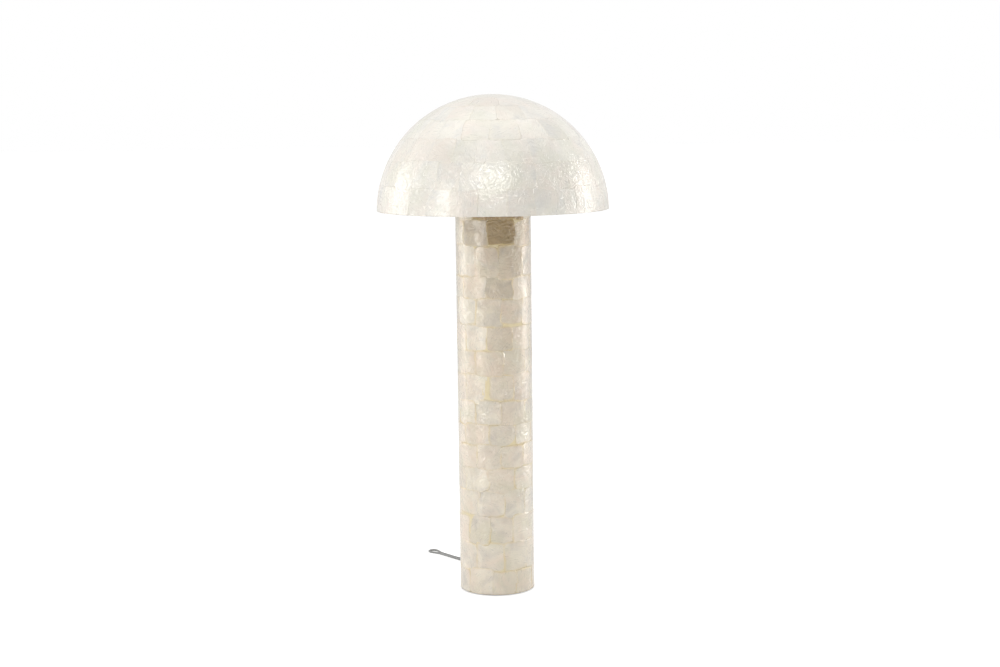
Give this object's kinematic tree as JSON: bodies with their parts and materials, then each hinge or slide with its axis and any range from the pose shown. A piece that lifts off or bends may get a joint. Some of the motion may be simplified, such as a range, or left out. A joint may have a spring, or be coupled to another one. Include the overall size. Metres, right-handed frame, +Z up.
{
  "type": "mushroom floor lamp",
  "caption": "Floor lamp with a tall round column and a half-round shade like a mushroom cap, both tiled in pearly cut shell; upright bulbs under the shade and a foot switch on the cord.",
  "frame": {"origin": "on the lamp's axis at floor level, under the centre of the column's foot", "axes": "+Z up along the column to the crown of the shade; -Y is the front, the cord leaves at +Y"},
  "size_m": [0.565, 0.6719, 1.22],
  "materials": {
    "column_shell": "lacquered cut shell, cream with pearly sheen",
    "shade_shell": "lacquered cut shell, cream white with pearly sheen",
    "laminate": "moulded glass-fibre laminate, off-white, satin",
    "felt": "dark grey pressed felt",
    "iron": "dark painted casting",
    "painted_steel": "white powder coat",
    "zinc_steel": "zinc-plated steel",
    "brass": "plain brass",
    "porcelain": "white glazed porcelain",
    "white_plastic": "natural nylon",
    "grey_plastic": "moulded grey PVC, semi-gloss",
    "button_plastic": "moulded plastic, light grey",
    "wire_sleeve": "clear PVC sleeve on wire",
    "cord_jacket": "translucent grey PVC jacket",
    "tie_fabric": "black woven strap",
    "cap_metal": "nickel-plated screw cap",
    "opal_glass": "opal white coated glass"
  },
  "bodies": {
    "stand": {"base_felt_pad": "felt", "base_weight_plate": "iron", "column_core": "laminate", "column_top_plate": "painted_steel", "column_shell_course_01": "column_shell", "column_shell_course_02": "column_shell", "column_shell_course_03": "column_shell", "column_shell_course_04": "column_shell", "column_shell_course_05": "column_shell", "column_shell_course_06": "column_shell", "column_shell_course_07": "column_shell", "column_shell_course_08": "column_shell", "column_shell_course_09": "column_shell", "column_shell_course_10": "column_shell", "column_shell_course_11": "column_shell", "column_shell_course_12": "column_shell", "column_shell_course_13": "column_shell", "column_shell_course_14": "column_shell", "column_shell_course_15": "column_shell", "column_shell_course_16": "column_shell", "lamp_pipe": "zinc_steel", "pipe_nuts": "zinc_steel", "pipe_washers": "zinc_steel", "lamp_holder_bodies": "porcelain", "lamp_holder_screw_shells": "brass", "holder_nipples": "brass", "terminal_block": "white_plastic", "holder_wires": "wire_sleeve", "cord_inside": "cord_jacket", "cord_strain_relief": "grey_plastic", "foot_switch_base": "grey_plastic", "foot_switch_cover": "grey_plastic", "foot_switch_mechanism": "white_plastic", "cord_lead": "cord_jacket", "cord_link": "cord_jacket", "cord_coil": "cord_jacket", "cord_plug_end": "cord_jacket", "cord_tie": "tie_fabric", "plug_body": "grey_plastic", "plug_blades": "brass"},
    "switch_button": {"foot_switch_button": "button_plastic"},
    "bulb_left": {"bulb_left_cap": "cap_metal", "bulb_left_glass": "opal_glass"},
    "bulb_right": {"bulb_right_cap": "cap_metal", "bulb_right_glass": "opal_glass"},
    "shade_swivel": {"shade_glide_washer": "white_plastic"},
    "shade": {"shade_core": "laminate", "shade_shell_course_01": "shade_shell", "shade_shell_course_02": "shade_shell", "shade_shell_course_03": "shade_shell", "shade_shell_course_04": "shade_shell", "shade_shell_course_05": "shade_shell", "shade_shell_course_06": "shade_shell", "shade_shell_course_07": "shade_shell", "shade_spider": "painted_steel", "shade_bond_patches": "laminate"}
  },
  "joints": [
    {"name": "button_press", "type": "slide", "parent": "stand", "child": "switch_button", "axis": [0, 0, -1], "range_m": [0, 0.003], "stiffness_N_per_m": 400, "springref_m": -0.0015},
    {"name": "bulb_left_out", "type": "slide", "parent": "stand", "child": "bulb_left", "axis": [0, 0, 1], "range_m": [0, 0.028]},
    {"name": "bulb_right_out", "type": "slide", "parent": "stand", "child": "bulb_right", "axis": [0, 0, 1], "range_m": [0, 0.028]},
    {"name": "shade_turn", "type": "hinge", "parent": "stand", "child": "shade_swivel", "pos_m": [0, 0, 1.158], "axis": [0, 0, 1], "continuous": true},
    {"name": "shade_lift", "type": "slide", "parent": "shade_swivel", "child": "shade", "axis": [0, 0, 1], "range_m": [0, 0.26]}
  ]
}
